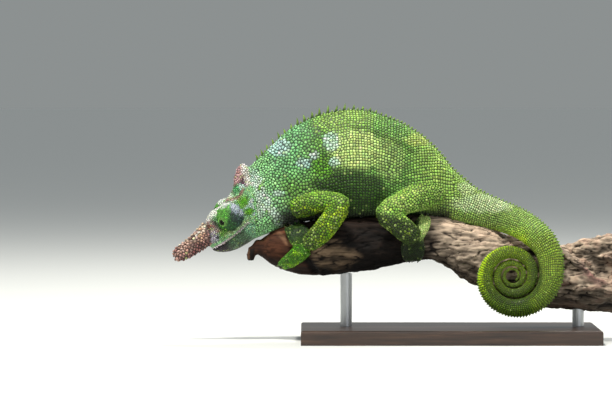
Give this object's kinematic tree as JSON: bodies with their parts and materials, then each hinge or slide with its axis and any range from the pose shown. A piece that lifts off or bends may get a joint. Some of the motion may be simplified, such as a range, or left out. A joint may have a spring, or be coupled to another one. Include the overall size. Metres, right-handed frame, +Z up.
{
  "type": "fischers chameleon model",
  "caption": "Still life-size model of a horned chameleon gripping a cut branch, its back arched and crested and its tail coiled beside it, held by rods on a flat base",
  "frame": {"origin": "centre of the underside of the stand's base", "axes": "+Z up, the animal faces -X and its left side is towards -Y, +X runs along the branch towards its cut end"},
  "size_m": [0.2486, 0.092, 0.1309],
  "materials": {
    "skin": "painted scaly skin, vivid green with bluish white patches",
    "horn": "coarse pinkish tan scales, and pale claws in the render",
    "eye": "glossy near black",
    "bark": "weathered barkless wood, brown with pale worn ridges",
    "rod": "satin steel",
    "base": "satin dark stain"
  },
  "bodies": {
    "root": {"torso": "skin", "neck": "skin", "head": "skin", "jaw": "skin", "tail_base": "skin", "tail_middle": "skin", "tail_coil_front": "skin", "tail_coil_under": "skin", "tail_coil_back": "skin", "tail_coil_inner_lower": "skin", "tail_coil_inner_upper": "skin", "tail_tip": "skin", "upper_arm_left": "skin", "forearm_left": "skin", "thigh_left": "skin", "shin_left": "skin", "eye_turret_left": "skin", "hand_left_lower_toes": "skin", "hand_left_upper_toes": "skin", "foot_left_lower_toes": "skin", "foot_left_upper_toes": "skin", "upper_arm_right": "skin", "forearm_right": "skin", "thigh_right": "skin", "shin_right": "skin", "eye_turret_right": "skin", "hand_right_lower_toes": "skin", "hand_right_upper_toes": "skin", "foot_right_lower_toes": "skin", "foot_right_upper_toes": "skin", "horn_left": "horn", "horn_right": "horn", "eye_left": "eye", "eye_right": "eye", "branch": "bark", "stand_base": "base", "stand_rod_left": "rod", "stand_rod_right": "rod"}
  },
  "joints": []
}
